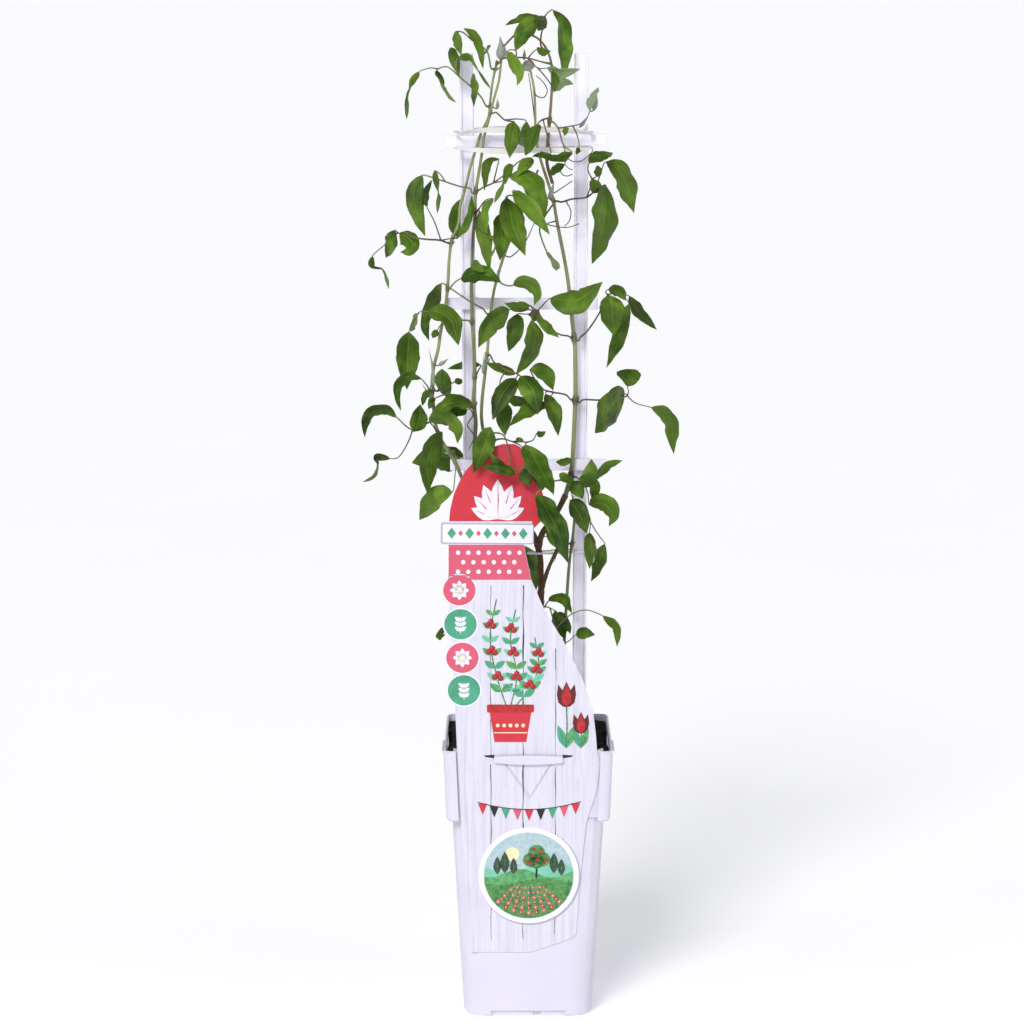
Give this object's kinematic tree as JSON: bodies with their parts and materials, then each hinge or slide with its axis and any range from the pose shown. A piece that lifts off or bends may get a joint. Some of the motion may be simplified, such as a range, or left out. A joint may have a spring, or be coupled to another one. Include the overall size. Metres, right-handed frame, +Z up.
{
  "type": "potted climbing plant on a trellis",
  "caption": "Young clematis with compound leaves, tied to a white ladder trellis, in a tall square white pot with a large plant label.",
  "frame": {"origin": "centre of the pot's central foot pad, on the surface it stands on", "axes": "+Z up along the trellis, the label and the pot's front face -Y, +X to the right seen from the front"},
  "size_m": [0.2522, 0.1508, 0.8005],
  "materials": {
    "pot_plastic": "satin moulded polypropylene",
    "soil": "moist peat and bark",
    "bark": "fibrous bark",
    "trellis_plastic": "glossy moulded",
    "elastic": "translucent band",
    "label": "printed and varnished",
    "green_stem": "ribbed green stem",
    "brown_stem": "purple brown stem",
    "bud": "downy",
    "leaf": "satin leaf with veins"
  },
  "bodies": {
    "root": {"pot": "pot_plastic", "potting_soil": "soil", "stem_woody_base": "bark", "upright_left": "trellis_plastic", "upright_right": "trellis_plastic", "crossbar_top": "trellis_plastic", "crossbar_middle": "trellis_plastic", "crossbar_lower": "trellis_plastic", "tie_upper": "elastic", "tie_lower": "elastic", "tie_back": "elastic", "label_card": "label", "stem_left": "green_stem", "stem_middle": "green_stem", "stem_inner": "green_stem", "stem_right": "green_stem", "stem_brown": "brown_stem", "stem_low": "green_stem", "bud_tip": "bud", "bud_round": "bud", "bud_hanging": "bud", "leaf_01": "leaf", "leaf_02": "leaf", "leaf_03": "leaf", "leaf_04": "leaf", "leaf_05": "leaf", "leaf_06": "leaf", "leaf_07": "leaf", "leaf_08": "leaf", "leaf_09": "leaf", "leaf_10": "leaf", "leaf_11": "leaf", "leaf_12": "leaf", "leaf_13": "leaf", "leaf_14": "leaf", "leaf_15": "leaf", "leaf_16": "leaf", "leaf_17": "leaf", "leaf_18": "leaf", "leaf_19": "leaf", "leaf_20": "leaf", "leaf_21": "leaf", "leaf_22": "leaf", "leaf_23": "leaf", "leaf_24": "leaf", "leaf_25": "leaf", "leaf_26": "leaf", "leaf_27": "leaf", "leaf_28": "leaf", "leaf_29": "leaf", "leaf_30": "leaf", "leaf_31": "leaf", "leaf_32": "leaf", "leaf_33": "leaf", "leaf_34": "leaf", "leaf_35": "leaf", "leaf_36": "leaf", "leaf_37": "leaf", "leaf_38": "leaf"}
  },
  "joints": []
}
